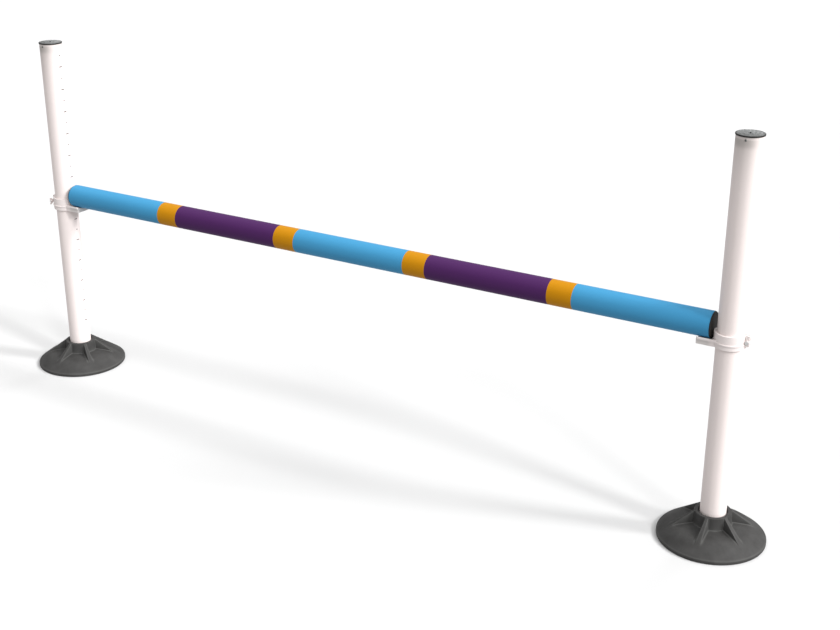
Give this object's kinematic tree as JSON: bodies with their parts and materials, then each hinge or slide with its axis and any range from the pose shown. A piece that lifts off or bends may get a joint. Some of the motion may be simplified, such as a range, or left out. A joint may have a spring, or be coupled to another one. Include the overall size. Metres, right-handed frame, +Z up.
{
  "type": "show jump with stands and striped pole",
  "caption": "Training jump: round uprights on heavy conical feet, sliding clamp cups with a curved trough, and a banded round pole lying in them.",
  "frame": {"origin": "on the ground midway between the two stands, at the bottom centre of the box", "axes": "+X along the pole from the left stand to the right stand, +Y away from the viewer, +Z up"},
  "size_m": [3.53, 0.4, 1.525],
  "materials": {
    "foot_plastic": "matte moulded, fine grain",
    "white_tube": "satin extruded",
    "cap_plastic": "matte moulded",
    "dark_steel": "dark zinc",
    "cup_plastic": "satin moulded",
    "zinc_steel": "bright zinc",
    "nut_plastic": "satin moulded",
    "pole_plastic": "satin extruded",
    "band_blue": "satin film",
    "band_orange": "satin film",
    "band_purple": "satin film",
    "plug_plastic": "matte moulded"
  },
  "bodies": {
    "stands": {"left_foot": "foot_plastic", "left_upright": "white_tube", "left_top_cap": "cap_plastic", "left_cap_screw": "dark_steel", "right_foot": "foot_plastic", "right_upright": "white_tube", "right_top_cap": "cap_plastic", "right_cap_screw": "dark_steel"},
    "left_cup": {"left_cup": "cup_plastic", "left_clamp_bolt": "zinc_steel", "left_washer": "zinc_steel"},
    "left_wing_nut": {"left_wing_nut": "nut_plastic"},
    "right_cup": {"right_cup": "cup_plastic", "right_clamp_bolt": "zinc_steel", "right_washer": "zinc_steel"},
    "right_wing_nut": {"right_wing_nut": "nut_plastic"},
    "pole": {"pole_core": "pole_plastic", "band_1_blue": "band_blue", "band_2_orange": "band_orange", "band_3_purple": "band_purple", "band_4_orange": "band_orange", "band_5_blue": "band_blue", "band_6_orange": "band_orange", "band_7_purple": "band_purple", "band_8_orange": "band_orange", "band_9_blue": "band_blue", "left_end_plug": "plug_plastic", "right_end_plug": "plug_plastic"}
  },
  "joints": [
    {"name": "left_cup_height", "type": "slide", "parent": "stands", "child": "left_cup", "axis": [0, 0, 1], "range_m": [-0.6, 0.65]},
    {"name": "right_cup_height", "type": "slide", "parent": "stands", "child": "right_cup", "axis": [0, 0, 1], "range_m": [-0.6, 0.65]},
    {"name": "left_wing_nut_turn", "type": "hinge", "parent": "left_cup", "child": "left_wing_nut", "pos_m": [-1.6285, -0.025, 0.797], "axis": [0, -1, 0], "continuous": true},
    {"name": "right_wing_nut_turn", "type": "hinge", "parent": "right_cup", "child": "right_wing_nut", "pos_m": [1.6285, 0.025, 0.797], "axis": [0, 1, 0], "continuous": true},
    {"name": "pole_lift", "type": "slide", "parent": "left_cup", "child": "pole", "axis": [0, 0, 1], "range_m": [0, 0.3]}
  ],
  "couplings": [
    {"joint": "right_cup_height", "follows": "left_cup_height", "ratio": 1}
  ]
}
